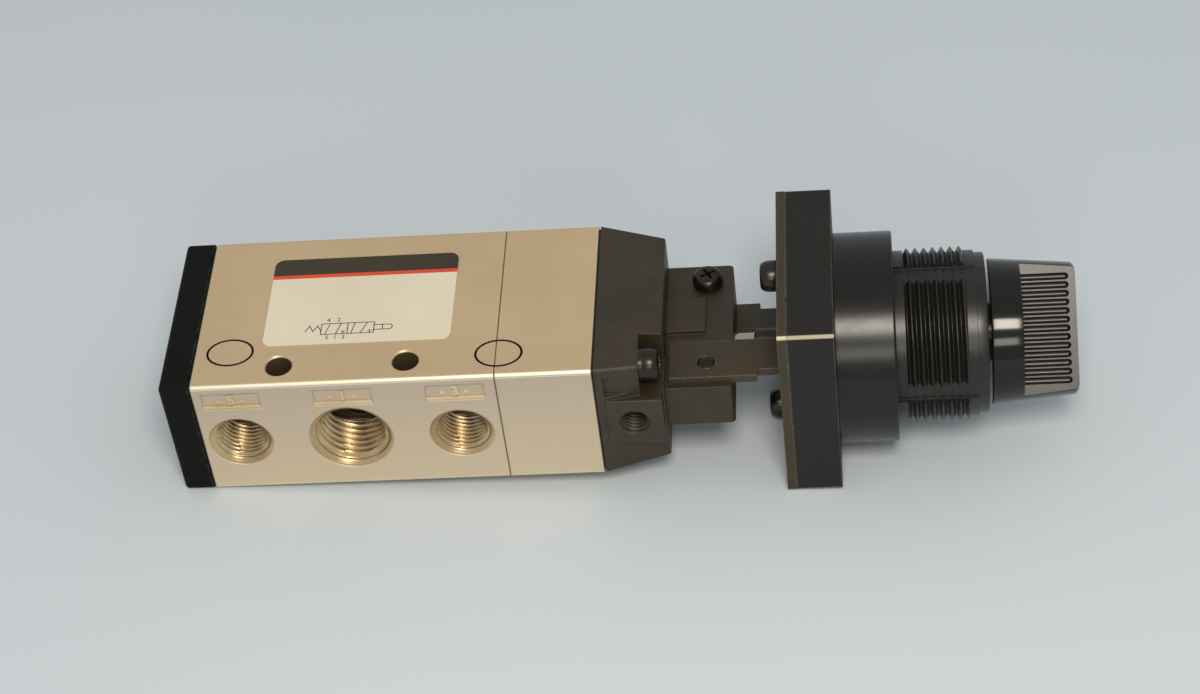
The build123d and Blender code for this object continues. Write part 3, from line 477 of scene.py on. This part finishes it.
def screw(name, place, head_r, head_h, shank_r, shank_l, tip=0.35):
    """Domed pan head, cross recess, threaded shank with a domed tip."""
    profile = [(-shank_l, 0)]
    for k in range(1, 5):
        a = math.radians(20 * k)
        profile.append((-shank_l + tip * (1 - math.cos(a)), (shank_r - 0.1) * math.sin(a)))
    pitch = 0.5
    start = -shank_l + tip
    steps = 6 if shank_l > 3 * pitch else 0
    for k in range(steps):
        profile.append((start + k * pitch, shank_r))
        profile.append((start + (k + 0.5) * pitch, shank_r - 0.26))
    profile.append((start + steps * pitch, shank_r))
    profile.append((0, shank_r))
    profile.append((0, head_r * 0.96))
    profile.append((0.12 * head_h, head_r))
    for k in range(7):
        a = math.pi / 2 * k / 6
        profile.append((
            head_h * (0.42 + 0.58 * math.sin(a)),
            head_r * (0.62 + 0.38 * math.cos(a)) if k < 6 else head_r * 0.45,
        ))
    profile.append((head_h, 0))
    verts, faces = lathe(profile, 40)
    obj = mesh_object(name, verts, faces, [screw_black], sharp=38)
    recess = prism(cross_outline(head_r * 0.52, head_r * 0.22), head_h * 0.45, head_h + 1)
    cutter = mesh_object(name + "_recess", *recess, [screw_black], smooth=False)
    cut(obj, cutter)
    obj.data.transform(place)
    return obj


def screws_for(node, body, seats, head_r, head_h, shank_r, shank_l):
    """One screw at each seat: where its head bears, the way it faces and its turn."""
    for number, (origin, out, turn) in enumerate(seats, 1):
        piece = screw(
            f"{node}_{number}", facing(origin, out, turn), head_r, head_h, shank_r, shank_l,
        )
        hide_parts(node)
        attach(piece, body)


bracket_low, bracket_high = box_mm("bracket_screws")
base_low, base_high = box_mm("base_screws")
cover_low = box_mm("end_cover")[0]
cover_screw_high = box_mm("end_cover_screws")[1]
pilot_screw_low, pilot_screw_high = box_mm("pilot_body_screws")

block_half = 4.35
tongue_t = 1.6
tip_out = 0.3
screw_x = (bracket_low.x + bracket_high.x) / 2
screw_y = bracket_high.y - 2.7
screws_for(
    "bracket_screws", "housing",
    [((screw_x, screw_y, block_half), (0, 0, 1), 0.5),
     ((screw_x, -screw_y, -block_half), (0, 0, -1), 0.2)],
    2.7, 2.4, 1.5, 2 * block_half + tongue_t + tip_out,
)
base_z = base_high.z - 2.7
screws_for(
    "base_screws", "housing",
    [((base_low.x + 2.9, 0, base_z), (-1, 0, 0), 0.3),
     ((base_low.x + 2.9, 0, -base_z), (-1, 0, 0), 0.9)],
    2.7, 2.9, 1.5, base_high.x - base_low.x - 2.9,
)
corner_y, corner_z = 13.5, 8.9
head_seat_x = cover_low.x + 2.02
screws_for(
    "end_cover_screws", "housing",
    [((head_seat_x, -corner_y, corner_z), (-1, 0, 0), 0.4),
     ((head_seat_x, corner_y, -corner_z), (-1, 0, 0), 1.1)],
    2.85, 2.0, 1.5, cover_screw_high.x - head_seat_x,
)
head_seat_x = pilot_screw_high.x - 2.8
screws_for(
    "pilot_body_screws", "housing",
    [((head_seat_x, -corner_y, corner_z), (1, 0, 0), 0.7),
     ((head_seat_x, corner_y, -corner_z), (1, 0, 0), 0.2)],
    2.85, 2.8, 1.5, head_seat_x - pilot_screw_low.x,
)


# Coil springs

DEAD_TURNS = 0.75


def spring(node, wire, turns):
    """Round-wire coil with closed ends, seated at its left end."""
    low, high = box_mm(node)
    radius = high.z - wire
    start, end = low.x + wire, high.x - wire
    closed = 2.05 * wire * DEAD_TURNS
    rise = (end - start - 2 * closed) / turns
    total = turns + 2 * DEAD_TURNS
    steps = round(total * 28)
    sides = 12
    verts, faces = [], []
    for i in range(steps + 1):
        u = total * i / steps
        if u < DEAD_TURNS:
            along = start + closed * u / DEAD_TURNS
        elif u > total - DEAD_TURNS:
            along = end - closed * (total - u) / DEAD_TURNS
        else:
            along = start + closed + rise * (u - DEAD_TURNS)
        a = 2 * math.pi * u
        for k in range(sides):
            b = 2 * math.pi * k / sides
            r = radius + wire * math.cos(b)
            verts.append(Vector((along + wire * math.sin(b), r * math.cos(a), r * math.sin(a))) * MM)
    for i in range(steps):
        for k in range(sides):
            n = (k + 1) % sides
            faces.append((i * sides + k, i * sides + n, (i + 1) * sides + n, (i + 1) * sides + k))
    faces += [tuple(range(sides)), tuple(steps * sides + k for k in range(sides))]
    obj = mesh_object(node + "_coil", verts, faces, [steel], sharp=60)
    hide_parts(node)
    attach(obj, "housing")
    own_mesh(obj)


spring("spool_return_spring", 0.3, 7)
spring("pilot_spring", 0.25, 3)
spring("push_rod_spring", 0.3, 4)


# Threaded bushing: 1.5 mm pitch, four flats along it

low, high = box_mm("threaded_bushing")
FOOT = -0.6
THREAD_PITCH = 1.5
CREST = 15.0
ROOT = 14.05
SHOULDER_END = 1.7
SHOULDER = 14.7
THREAD_END = 12.1
RUNOUT_END = 13.8
RUNOUT = 14.3
END_R = 13.85
FLAT = 13.75
FLAT_HALF = 1.95


def thread_radius(x, angle):
    """Radius of the bushing's outside at x mm from the seat and at an angle."""
    if x < SHOULDER_END:
        return SHOULDER
    if x > THREAD_END:
        return RUNOUT if x < RUNOUT_END else END_R
    phase = (x / THREAD_PITCH - angle / (2 * math.pi)) % 1.0
    ridge = 1 - abs(2 * phase - 1)
    ridge = min(max((ridge - 0.08) / 0.8, 0), 1)
    return ROOT + (CREST - ROOT) * ridge


def bushing_columns():
    """Angles round the bushing, with pairs of columns at each flat's two walls."""
    columns = []
    edge = math.asin(FLAT_HALF / CREST)
    for quarter in range(4):
        middle = quarter * math.pi / 2
        for k in range(-3, 4):
            columns.append(("flat", middle, FLAT_HALF * k / 3))
        columns.append(("wall", middle, FLAT_HALF))
        arc = 44
        for k in range(1, arc):
            a = middle + edge + (math.pi / 2 - 2 * edge) * k / arc
            columns.append(("arc", a, 0))
        columns.append(("wall", middle + math.pi / 2, -FLAT_HALF))
    return columns


def bushing_point(column, x):
    kind, angle, side = column
    if kind == "arc":
        r = thread_radius(x, angle)
        return r * math.cos(angle), r * math.sin(angle)
    if kind == "flat":
        reach = min(FLAT, thread_radius(x, angle) - 0.02)
    else:
        turn = angle + math.asin(side / CREST)
        r = thread_radius(x, turn)
        reach = max(math.sqrt(r * r - side * side), FLAT - 0.001)
    c, s = math.cos(angle), math.sin(angle)
    return reach * c - side * s, reach * s + side * c


def make_bushing():
    columns = bushing_columns()
    stations = [FOOT, SHOULDER_END - 0.001]
    step = THREAD_PITCH / 16
    x = SHOULDER_END
    while x < THREAD_END:
        stations.append(x)
        x += step
    stations += [THREAD_END, THREAD_END + 0.001, RUNOUT_END - 0.001, RUNOUT_END + 0.001]
    stations += [high.x - 0.35]
    rings = []
    for x in stations:
        rings.append([(x, *bushing_point(c, x)) for c in columns])
    for inset, x in ((0.1, high.x - 0.1), (0.35, high.x)):
        ring = []
        for c in columns:
            y, z = bushing_point(c, high.x)
            scale = 1 - inset / math.hypot(y, z)
            ring.append((x, y * scale, z * scale))
        rings.append(ring)

    def circle(x, r):
        ring = []
        for c in columns:
            y, z = bushing_point(c, high.x)
            k = r / math.hypot(y, z)
            ring.append((x, y * k, z * k))
        return ring

    rings += [circle(high.x, 7.5), circle(high.x - 2.2, 7.5), circle(high.x - 2.2, 5.06)]
    rings += [circle(3.0, 5.06), circle(3.0, 8.0), circle(low.x, 8.0), circle(low.x, 11.0)]
    rings += [circle(FOOT, 11.0)]
    count = len(columns)
    verts = [Vector(p) * MM for ring in rings for p in ring]
    faces = []
    for i in range(len(rings)):
        j = (i + 1) % len(rings)
        for k in range(count):
            n = (k + 1) % count
            faces.append((i * count + k, i * count + n, j * count + n, j * count + k))
    return mesh_object("panel_bushing", verts, faces, [bushing_black], sharp=28)


bushing = make_bushing()
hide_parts("threaded_bushing")
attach(bushing, "housing")


# Knob with a fluted bar grip

low, high = box_mm("knob")
KNOB_R = 12.7
KNOB_END_R = 11.4
GRIP_START = low.x + 5.4
GRIP_HALF = 4.6
FLUTES = 13
FLUTE_PITCH = 1.48
FLUTE_R = 0.6
FLUTE_LIFT = 0.06
END_MARGIN = 1.15
taper = (KNOB_R - KNOB_END_R) / (high.x - low.x)


def knob_r(x):
    return KNOB_R - (x - low.x) * taper


def flute(place, y):
    """A round-bottomed channel with a round far end, as a body to cut away."""
    reach = high.x - END_MARGIN - FLUTE_R
    profile = [(GRIP_START, 0), (GRIP_START, FLUTE_R)]
    for k in range(8):
        a = math.pi / 2 * k / 8
        profile.append((reach + FLUTE_R * math.sin(a), FLUTE_R * math.cos(a)))
    profile.append((reach + FLUTE_R, 0))
    shift = Matrix.Translation(Vector((0, y, GRIP_HALF + FLUTE_LIFT)) * MM)
    return lathe(profile, 32, place @ shift)


def grip_cutter(name, parts):
    """Bodies to cut away that leave the grip's own finish behind them."""
    cutter = joined(name, parts, [gloss_black, grip_black], False)
    for face in cutter.data.polygons:
        face.material_index = 1
    return cutter


def make_knob():
    profile = [(low.x, 3.9), (low.x, KNOB_R - 0.3)]
    for k in range(4):
        a = math.pi / 2 * k / 3
        profile.append((low.x + 0.3 - 0.3 * math.cos(a), knob_r(low.x + 0.3) - 0.3 + 0.3 * math.sin(a)))
    round_r = 0.9
    for k in range(9):
        a = math.pi / 2 * k / 8
        x = high.x - round_r + round_r * math.sin(a)
        profile.append((x, knob_r(high.x - round_r) - round_r + round_r * math.cos(a)))
    profile += [(high.x, 0), (low.x + 9.1, 0), (low.x + 9.1, 3.9)]
    obj = mesh_object("selector_knob", *lathe(profile, 192), [gloss_black, grip_black], sharp=30)
    tilt = math.radians(45)
    outline = [(-20, GRIP_HALF), (20, GRIP_HALF), (20, 20), (-20, 20)]
    for side in (0, math.pi):
        place = Matrix.Rotation(tilt + side, 4, "X")
        cut(obj, grip_cutter("flat", [prism(outline, GRIP_START, high.x + 5, place)]))
        flutes = [flute(place, (k - (FLUTES - 1) / 2) * FLUTE_PITCH) for k in range(FLUTES)]
        cut(obj, grip_cutter("flutes", flutes))
    tidy(obj, sharp=40)
    return obj


knob = make_knob()
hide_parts("knob")
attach(knob, "selector")


# Threads in the ports

FRONT = -18.35
BACK = 18.35
CENTRE_X = -94.0
PORT_Z = -1.0


def port_thread(
    name, x, z, mouth_y, side, major_r, minor_r, pitch, mouth_cone, depth, mouth_r, taper=1 / 32,
):
    """A thin sleeve of thread ridges lining a port, running out through its mouth cone."""
    segments = 72
    rows_per_turn = 8
    lead_in = 0.12

    def wall(d):
        if d < mouth_cone:
            return major_r + (mouth_r - major_r) * (1 - d / mouth_cone)
        return major_r - taper * d * 0.6

    def ring_at(d, radius):
        ring = []
        for k in range(segments):
            a = 2 * math.pi * k / segments
            r = radius(a)
            ring.append((x + r * math.cos(a), mouth_y - side * d, z + r * math.sin(a)))
        return ring

    def ridged(d):
        def radius(a):
            phase = ((d - mouth_cone) / pitch - side * a / (2 * math.pi)) % 1.0
            ridge = min(max((1 - abs(2 * phase - 1) - 0.12) / 0.76, 0), 1)
            start = min(1, (d / (mouth_cone + pitch * 0.6)) ** 1.5 + 0.04)
            return wall(d) - 0.03 - (major_r - minor_r) * ridge * start
        return radius

    rows = int((depth - lead_in) / pitch * rows_per_turn)
    places = [lead_in + (depth - lead_in) * i / rows for i in range(rows + 1)]
    rings = [ring_at(d, ridged(d)) for d in places]
    for d in (depth, mouth_cone, lead_in):
        rings.append(ring_at(d, lambda a: wall(d) - 0.01))
    verts = [Vector(p) * MM for ring in rings for p in ring]
    faces = []
    for i in range(len(rings)):
        j = (i + 1) % len(rings)
        for k in range(segments):
            n = (k + 1) % segments
            faces.append((i * segments + k, i * segments + n, j * segments + n, j * segments + k))
    obj = mesh_object(name, verts, faces, [thread_metal], sharp=50)
    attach(obj, "housing")
    return obj


port_thread("supply_thread", CENTRE_X, PORT_Z, FRONT, -1, 6.5785, 5.7225, 1.337, 0.82, 9.6, 7.4)
for tag, step in (("left", -1), ("right", 1)):
    port_thread(
        f"exhaust_thread_{tag}", CENTRE_X + step * 19.3, PORT_Z, FRONT, -1,
        4.864, 4.283, 0.907, 0.836, 8.6, 5.7,
    )
    port_thread(
        f"cylinder_thread_{tag}", CENTRE_X + step * 10.95, PORT_Z, BACK, 1,
        6.5785, 5.7225, 1.337, 0.82, 9.6, 7.4,
    )
pilot_thread = port_thread(
    "pilot_exhaust_thread", -44.9, -0.16, FRONT, -1, 2.5, 2.1, 0.8, 0.25, 5.6, 2.75, taper=0,
)
pilot_thread.data.materials[0] = resin_black


# Label with its printed bands and valve symbol, inspection rings and port numbers

low, high = box_mm("type_label")
TOP = high.z


def rounded_outline(x0, x1, y0, y1, r, steps=8):
    points = []
    centres = ((x1 - r, y1 - r, 0), (x0 + r, y1 - r, 90), (x0 + r, y0 + r, 180), (x1 - r, y0 + r, 270))
    for cx, cy, start in centres:
        for k in range(steps + 1):
            a = math.radians(start + 90 * k / steps)
            points.append((cx + r * math.cos(a), cy + r * math.sin(a)))
    return points


def make_label():
    outline = rounded_outline(low.x, high.x, low.y, high.y, 1.6)
    count = len(outline)
    verts = [Vector((x, y, z)) * MM for z in (low.z + 0.01, TOP) for x, y in outline]
    faces = [tuple(range(count - 1, -1, -1)), tuple(range(count, 2 * count))]
    faces += [(k, (k + 1) % count, count + (k + 1) % count, count + k) for k in range(count)]
    obj = mesh_object("type_label_film", verts, faces, [film, film_black, film_red], False)
    band_y = high.y - 4.1
    line_y = band_y - 0.9
    bm = bmesh.new()
    bm.from_mesh(obj.data)
    for y in (band_y, line_y):
        every = bm.verts[:] + bm.edges[:] + bm.faces[:]
        bmesh.ops.bisect_plane(bm, geom=every, plane_co=(0, y * MM, 0), plane_no=(0, 1, 0))
    for face in bm.faces:
        y = face.calc_center_median().y / MM
        face.material_index = 1 if y > band_y else 2 if y > line_y else 0
    bm.to_mesh(obj.data)
    bm.free()
    return obj


label = make_label()
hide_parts("type_label")
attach(label, "housing")

INK_T = 0.012


def strip(points, width, z0, closed=False):
    """A thin printed line through points (x, y) in mm."""
    parts = []
    pairs = list(zip(points, points[1:] + (points[:1] if closed else [])))
    if not closed:
        pairs = pairs[: len(points) - 1]
    for (ax, ay), (bx, by) in pairs:
        dx, dy = bx - ax, by - ay
        length = math.hypot(dx, dy) or 1
        ux, uy = dx / length, dy / length
        nx, ny = -uy * width / 2, ux * width / 2
        ex, ey = ux * width / 2, uy * width / 2
        corners = [
            (ax - ex + nx, ay - ey + ny), (ax - ex - nx, ay - ey - ny),
            (bx + ex - nx, by + ey - ny), (bx + ex + nx, by + ey + ny),
        ]
        verts = [Vector((x, y, z)) * MM for z in (z0, z0 + INK_T) for x, y in corners]
        faces = [(3, 2, 1, 0), (4, 5, 6, 7), (0, 1, 5, 4), (1, 2, 6, 5), (2, 3, 7, 6), (3, 0, 4, 7)]
        parts.append((verts, faces))
    return parts


def digits(name, text, size, place, look, depth, bold=0.0):
    """Plain raised or printed numbers."""
    curve = bpy.data.curves.new(name, "FONT")
    curve.body = text
    curve.size = size * MM
    curve.extrude = depth * MM
    curve.offset = bold * MM
    curve.resolution_u = 3
    curve.align_x = "CENTER"
    curve.align_y = "CENTER"
    holder = bpy.data.objects.new(name + "_text", curve)
    bpy.context.scene.collection.objects.link(holder)
    graph = bpy.context.evaluated_depsgraph_get()
    mesh = bpy.data.meshes.new_from_object(holder.evaluated_get(graph))
    bpy.data.objects.remove(holder)
    obj = bpy.data.objects.new(name, mesh)
    bpy.context.scene.collection.objects.link(obj)
    mesh.materials.clear()
    mesh.materials.append(look)
    mesh.transform(place)
    tidy(obj, False)
    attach(obj, "housing")
    return obj


def valve_symbol():
    """Circuit symbol of a two-position five-port valve, with an operator and a spring."""
    z0 = TOP
    w = 0.16
    cx, cy = low.x + 14.6, low.y + 3.6
    bw, bh = 4.6, 2.6
    parts = []
    for k in (0, 1):
        x0 = cx + (k - 1) * bw
        y0, y1 = cy - bh / 2, cy + bh / 2
        parts += strip([(x0, y0), (x0 + bw, y0), (x0 + bw, y1), (x0, y1)], w, z0, True)
    left = cx - bw
    for a, b in (((left + 0.7, -1), (left + 1.5, 1)), ((left + 3.4, 1), (left + 2.6, -1))):
        parts += strip([(a[0], cy + a[1] * bh / 2), (b[0], cy + b[1] * bh / 2)], w, z0)
    for a, b in (((cx + 1.2, 1), (cx + 0.7, -1)), ((cx + 2.3, -1), (cx + 3.4, 1))):
        parts += strip([(a[0], cy + a[1] * bh / 2), (b[0], cy + b[1] * bh / 2)], w, z0)
    for x in (left + 3.9, cx + 3.9):
        parts += strip([(x, cy - bh / 2), (x, cy - bh / 2 + 0.6)], w, z0)
        parts += strip([(x - 0.3, cy - bh / 2 + 0.6), (x + 0.3, cy - bh / 2 + 0.6)], w, z0)
    zig = [(left - 0.7 * k, cy + (0.9 if k % 2 else -0.5)) for k in range(5)]
    parts += strip(zig, w, z0)
    right = cx + bw
    y0, y1 = cy - 0.6, cy + 0.6
    parts += strip([(right, y0), (right + 1.5, y0), (right + 1.5, y1), (right, y1)], w, z0)
    nose = [(right + 1.5, cy + 0.6), (right + 2.6, cy + 0.6)]
    for k in range(1, 8):
        a = math.pi / 2 - math.pi * k / 8
        nose.append((right + 2.6 + 0.6 * math.cos(a), cy + 0.6 * math.sin(a)))
    nose += [(right + 2.6, cy - 0.6), (right + 1.5, cy - 0.6)]
    parts += strip(nose, w, z0)
    obj = joined("valve_symbol", parts, [ink], False)
    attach(obj, "housing")
    top_place = Matrix.Translation(Vector((cx - 2.6, cy + bh / 2 + 0.85, z0)) * MM)
    digits("outlet_numbers", "4   2", 1.35, top_place, ink, INK_T)
    low_place = Matrix.Translation(Vector((cx - 2.0, cy - bh / 2 - 0.85, z0)) * MM)
    digits("inlet_numbers", "5  1  3", 1.35, low_place, ink, INK_T)


valve_symbol()


def stamp(name, x, y, long_r, short_r, z0):
    """Plain oval inspection ring in ink."""
    points = []
    for k in range(40):
        a = 2 * math.pi * k / 40
        points.append((x + long_r * math.cos(a), y + short_r * math.sin(a)))
    obj = joined(name, strip(points, 0.4, z0, True), [ink], False)
    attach(obj, "housing")


BODY_TOP = 12.55
stamp("stamp_ring_left", 11.6 - 125.4, -10.1, 3.95, 3.1, BODY_TOP)
stamp("stamp_ring_right", 58.3 - 125.4, -13.0, 3.95, 3.1, BODY_TOP)

PAD_Z = 9.05
for text, step in (("5", -1), ("1", 0), ("3", 1)):
    turn = Matrix.Rotation(math.pi / 2, 4, "X")
    pad_x = CENTRE_X + step * 19.3
    spot = Vector((pad_x, FRONT + 0.36, PAD_Z)) * MM
    marks = "- " + text + " -"
    digits(
        f"port_number_{text}", marks, 3.0, Matrix.Translation(spot) @ turn, raised_mark, 0.3,
        bold=0.06,
    )
    bars = []
    for drop in (1.42, 1.98):
        outline = [(-0.12, 0.16), (-0.12, -0.16), (0.3, -0.18), (0.3, 0.18)]
        bar = [(FRONT + y, PAD_Z - drop + z) for y, z in outline]
        bars.append(prism(bar, pad_x - 5.0, pad_x + 5.0))
    ridge = joined(f"port_ridge_{text}", bars, [raised_mark], False)
    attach(ridge, "housing")


# Floor, lights and camera

floor_slope = math.atan2(18.65 - 12.55, 125.4 - 19.7)
floor_mesh = bpy.data.meshes.new("floor")
floor_mesh.from_pydata([(-3, -3, 0), (3, -3, 0), (3, 3, 0), (-3, 3, 0)], [], [(0, 1, 2, 3)])
floor = bpy.data.objects.new("floor", floor_mesh)
bpy.context.scene.collection.objects.link(floor)
floor.matrix_world = (
    Matrix.Translation(Vector((-19.7, 0, -18.66)) * MM) @ Matrix.Rotation(floor_slope, 4, "Y")
)
pale = Nodes("floor_pale")
pale_tone = pale.mix(pale.ramp(pale.noise(3, 3), 0.3, 0.7), srgb(200, 210, 217), srgb(207, 216, 222))
pale.link(pale_tone, pale.bsdf.inputs["Base Color"])
pale.bsdf.inputs["Roughness"].default_value = 0.75
pale.bsdf.inputs["Specular IOR Level"].default_value = 0.2
floor_mesh.materials.append(pale.mat)

world = bpy.data.worlds.new("studio")
bpy.context.scene.world = world
world.use_nodes = True
world.node_tree.nodes["Background"].inputs["Color"].default_value = (0.97, 0.985, 1.0, 1)
world.node_tree.nodes["Background"].inputs["Strength"].default_value = 0.5


def lamp(name, spot, target, size, watts, color=(1, 0.97, 0.92), size_y=None):
    data = bpy.data.lights.new(name, "AREA")
    data.energy = watts
    data.color = color
    data.size = size
    if size_y:
        data.shape = "RECTANGLE"
        data.size_y = size_y
    obj = bpy.data.objects.new(name, data)
    bpy.context.scene.collection.objects.link(obj)
    obj.location = spot
    obj.rotation_euler = (Vector(target) - Vector(spot)).to_track_quat("-Z", "Y").to_euler()
    return obj


lamp("key", (0.035, -0.373, 0.532), (0.035, 0, 0), 0.2, 2.3, (1, 0.92, 0.79), 0.17)
lamp("low_strip", (0.02, -0.58, 0.295), (0, 0, 0), 0.2, 0.45, (1, 0.95, 0.86), 0.12)

camera_data = bpy.data.cameras.new("camera")
camera_data.sensor_width = 36
camera_data.lens = 86.75
camera_data.clip_start = 0.01
camera = bpy.data.objects.new("camera", camera_data)
bpy.context.scene.collection.objects.link(camera)
right = Vector((0.99434, 0.03955, -0.09860))
up = Vector((0.0429, 0.6997, 0.7131))
back = Vector((0.09720, -0.71334, 0.69405))
pose = Matrix((
    (right.x, up.x, back.x, -0.002294),
    (right.y, up.y, back.y, -0.361205),
    (right.z, up.z, back.z, 0.351752),
    (0, 0, 0, 1),
))
camera.matrix_world = pose
bpy.context.scene.camera = camera
bpy.context.scene.view_settings.view_transform = "Standard"
